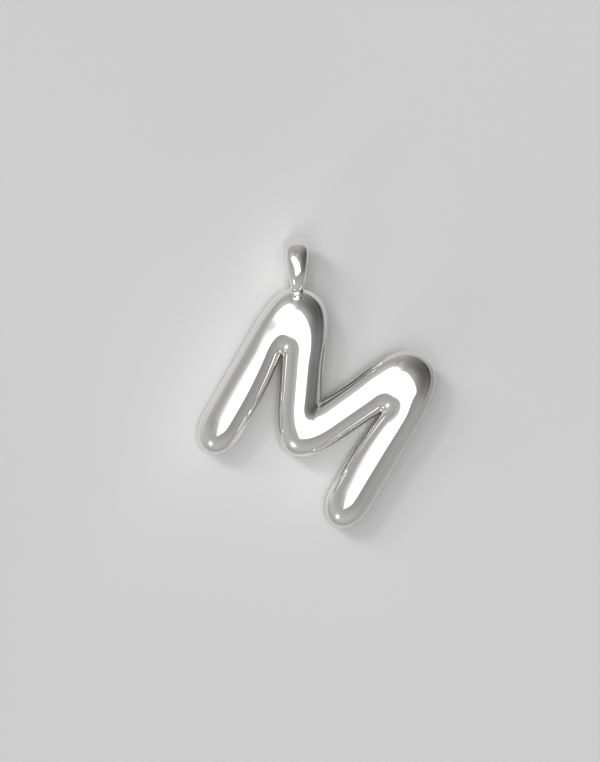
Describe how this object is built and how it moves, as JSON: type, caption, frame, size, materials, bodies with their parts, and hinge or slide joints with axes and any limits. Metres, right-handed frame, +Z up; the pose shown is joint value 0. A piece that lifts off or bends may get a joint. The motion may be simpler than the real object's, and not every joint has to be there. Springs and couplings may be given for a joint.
{
  "type": "initial pendant",
  "caption": "Mirror-polished puffed capital letter M pendant, leaning to one side, with a tapered ring bail grown out of its left shoulder and a round hole for a chain.",
  "frame": {"origin": "middle of the pendant's box in plan, at the level of the surface that it lies on", "axes": "+Z up from the surface, out of the front of the letter; +Y along the bail, away from the letter; +X to the letter's right, along the bail's hole to within 2 degrees"},
  "size_m": [0.0238, 0.0292, 0.0064],
  "materials": {
    "silver": "mirror-polished silver"
  },
  "bodies": {
    "root": {"pendant": "silver"}
  },
  "joints": []
}
